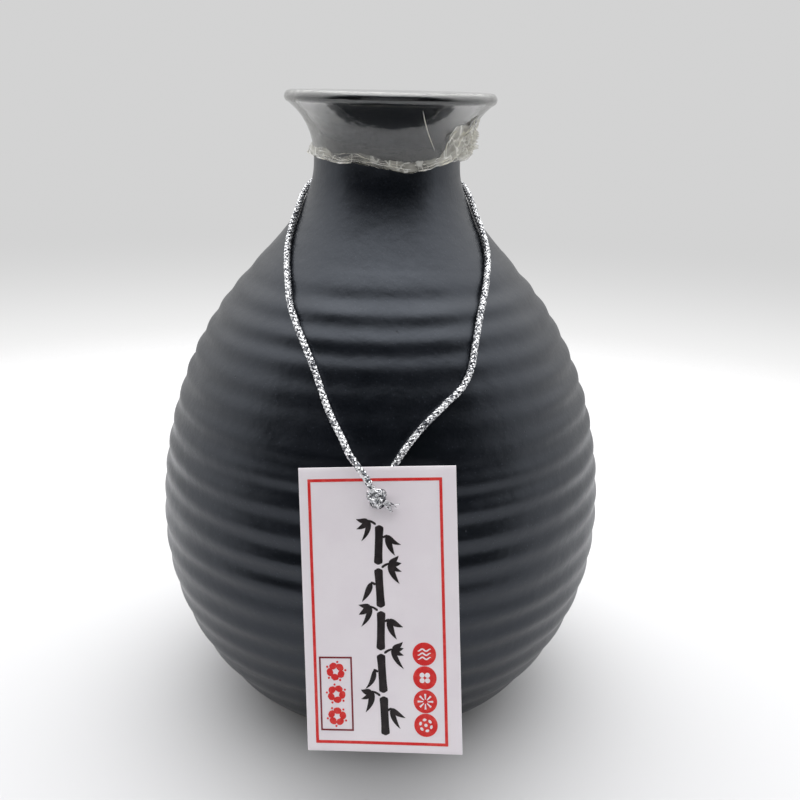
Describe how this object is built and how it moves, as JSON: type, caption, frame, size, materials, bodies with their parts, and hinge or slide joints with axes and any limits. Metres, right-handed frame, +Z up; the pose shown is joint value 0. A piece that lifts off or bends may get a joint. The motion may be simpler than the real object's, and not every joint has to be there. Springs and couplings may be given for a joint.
{
  "type": "sake bottle",
  "caption": "Squat ribbed black stoneware bottle with a flared lip, a stopper under a clear film seal, and a paper tag hung on a silver braided neck cord.",
  "frame": {"origin": "centre of the foot ring, on the surface that the bottle stands on", "axes": "+Z up along the bottle's axis, the tag hangs on the -Y side, +X to the right when facing the tag"},
  "size_m": [0.1124, 0.127, 0.1536],
  "materials": {
    "black_glaze": "satin blue-black glaze with fine speckle",
    "cork": "matt pressed cork",
    "clear_film": "clear glossy shrink film",
    "silver_cord": "braided metallic thread with a silver sheen",
    "white_card": "smooth uncoated card",
    "red_print": "flat red print",
    "black_print": "flat black brush ink"
  },
  "bodies": {
    "bottle": {"bottle": "black_glaze"},
    "stopper": {"cork_stopper": "cork"},
    "film": {"seal_film": "clear_film"},
    "cord": {"neck_cord": "silver_cord"},
    "tag": {"hang_tag": "white_card", "cord_knot": "silver_cord", "cord_tail": "silver_cord"}
  },
  "joints": [
    {"name": "stopper_lift", "type": "slide", "parent": "bottle", "child": "stopper", "axis": [0, 0, 1], "range_m": [0, 0.03], "deforming": ["seal_film"]},
    {"name": "film_lift", "type": "slide", "parent": "stopper", "child": "film", "axis": [0, 0, 1], "range_m": [0, 0.025], "deforming": ["seal_film"]},
    {"name": "cord_turn", "type": "hinge", "parent": "bottle", "child": "cord", "pos_m": [0, 0, 0.13], "axis": [0, 0, 1], "continuous": true},
    {"name": "tag_swing", "type": "hinge", "parent": "cord", "child": "tag", "pos_m": [0, -0.05383, 0.0816], "axis": [-1, 0, 0], "range_deg": [0, 75], "deforming": ["neck_cord"]}
  ]
}
